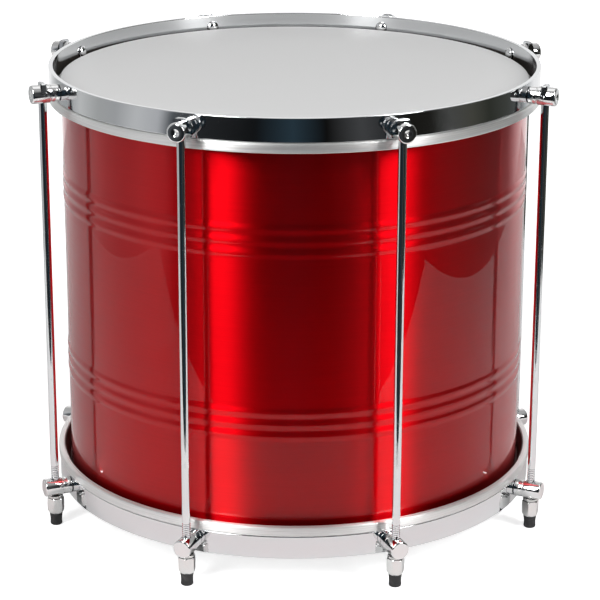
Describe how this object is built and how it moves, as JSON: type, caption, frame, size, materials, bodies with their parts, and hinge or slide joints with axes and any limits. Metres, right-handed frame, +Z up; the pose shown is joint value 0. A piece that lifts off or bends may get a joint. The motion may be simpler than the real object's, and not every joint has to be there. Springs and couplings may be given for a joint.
{
  "type": "repinique",
  "caption": "Small two-headed samba drum: lacquered beaded metal shell, film heads, chromed hoops, and long tension rods whose rubber-tipped ends are its feet.",
  "frame": {"origin": "on the drum's axis at the floor, midway between the rubber tips that it stands on", "axes": "+Z up along the drum's axis towards the playing head; -Y is the front, midway between two rods"},
  "size_m": [0.3334, 0.3334, 0.3013],
  "materials": {
    "red_lacquer": "candy red metallic lacquer over brushed aluminium, high gloss",
    "head_film": "milky matte film",
    "bare_aluminium": "satin, brushed round the hoop",
    "bright_chrome": "mirror",
    "turned_chrome": "mirror over turned bar",
    "rod_plating": "bright",
    "washer_steel": "bright zinc",
    "nut_plating": "bright",
    "black_rubber": "matt"
  },
  "bodies": {
    "drum": {"shell": "red_lacquer", "top_head_film": "head_film", "bottom_head_film": "head_film", "top_flesh_hoop": "bare_aluminium", "bottom_flesh_hoop": "bare_aluminium", "top_counterhoop": "bright_chrome", "bottom_counterhoop": "bright_chrome", "top_post_1": "turned_chrome", "bottom_post_1": "turned_chrome", "tension_rod_1": "rod_plating", "seat_washer_1": "washer_steel", "rubber_tip_1": "black_rubber", "top_post_2": "turned_chrome", "bottom_post_2": "turned_chrome", "tension_rod_2": "rod_plating", "seat_washer_2": "washer_steel", "rubber_tip_2": "black_rubber", "top_post_3": "turned_chrome", "bottom_post_3": "turned_chrome", "tension_rod_3": "rod_plating", "seat_washer_3": "washer_steel", "rubber_tip_3": "black_rubber", "top_post_4": "turned_chrome", "bottom_post_4": "turned_chrome", "tension_rod_4": "rod_plating", "seat_washer_4": "washer_steel", "rubber_tip_4": "black_rubber", "top_post_5": "turned_chrome", "bottom_post_5": "turned_chrome", "tension_rod_5": "rod_plating", "seat_washer_5": "washer_steel", "rubber_tip_5": "black_rubber", "top_post_6": "turned_chrome", "bottom_post_6": "turned_chrome", "tension_rod_6": "rod_plating", "seat_washer_6": "washer_steel", "rubber_tip_6": "black_rubber", "top_post_7": "turned_chrome", "bottom_post_7": "turned_chrome", "tension_rod_7": "rod_plating", "seat_washer_7": "washer_steel", "rubber_tip_7": "black_rubber", "top_post_8": "turned_chrome", "bottom_post_8": "turned_chrome", "tension_rod_8": "rod_plating", "seat_washer_8": "washer_steel", "rubber_tip_8": "black_rubber"},
    "nut_1": {"tension_nut_1": "nut_plating"},
    "nut_2": {"tension_nut_2": "nut_plating"},
    "nut_3": {"tension_nut_3": "nut_plating"},
    "nut_4": {"tension_nut_4": "nut_plating"},
    "nut_5": {"tension_nut_5": "nut_plating"},
    "nut_6": {"tension_nut_6": "nut_plating"},
    "nut_7": {"tension_nut_7": "nut_plating"},
    "nut_8": {"tension_nut_8": "nut_plating"}
  },
  "joints": [
    {"name": "nut_1_turn", "type": "hinge", "parent": "drum", "child": "nut_1", "pos_m": [0.06532, -0.15771, 0.0138], "axis": [0, 0, 1], "continuous": true},
    {"name": "nut_2_turn", "type": "hinge", "parent": "drum", "child": "nut_2", "pos_m": [0.15771, -0.06532, 0.0138], "axis": [0, 0, 1], "continuous": true},
    {"name": "nut_3_turn", "type": "hinge", "parent": "drum", "child": "nut_3", "pos_m": [0.15771, 0.06532, 0.0138], "axis": [0, 0, 1], "continuous": true},
    {"name": "nut_4_turn", "type": "hinge", "parent": "drum", "child": "nut_4", "pos_m": [0.06532, 0.15771, 0.0138], "axis": [0, 0, 1], "continuous": true},
    {"name": "nut_5_turn", "type": "hinge", "parent": "drum", "child": "nut_5", "pos_m": [-0.06532, 0.15771, 0.0138], "axis": [0, 0, 1], "continuous": true},
    {"name": "nut_6_turn", "type": "hinge", "parent": "drum", "child": "nut_6", "pos_m": [-0.15771, 0.06532, 0.0138], "axis": [0, 0, 1], "continuous": true},
    {"name": "nut_7_turn", "type": "hinge", "parent": "drum", "child": "nut_7", "pos_m": [-0.15771, -0.06532, 0.0138], "axis": [0, 0, 1], "continuous": true},
    {"name": "nut_8_turn", "type": "hinge", "parent": "drum", "child": "nut_8", "pos_m": [-0.06532, -0.15771, 0.0138], "axis": [0, 0, 1], "continuous": true}
  ]
}
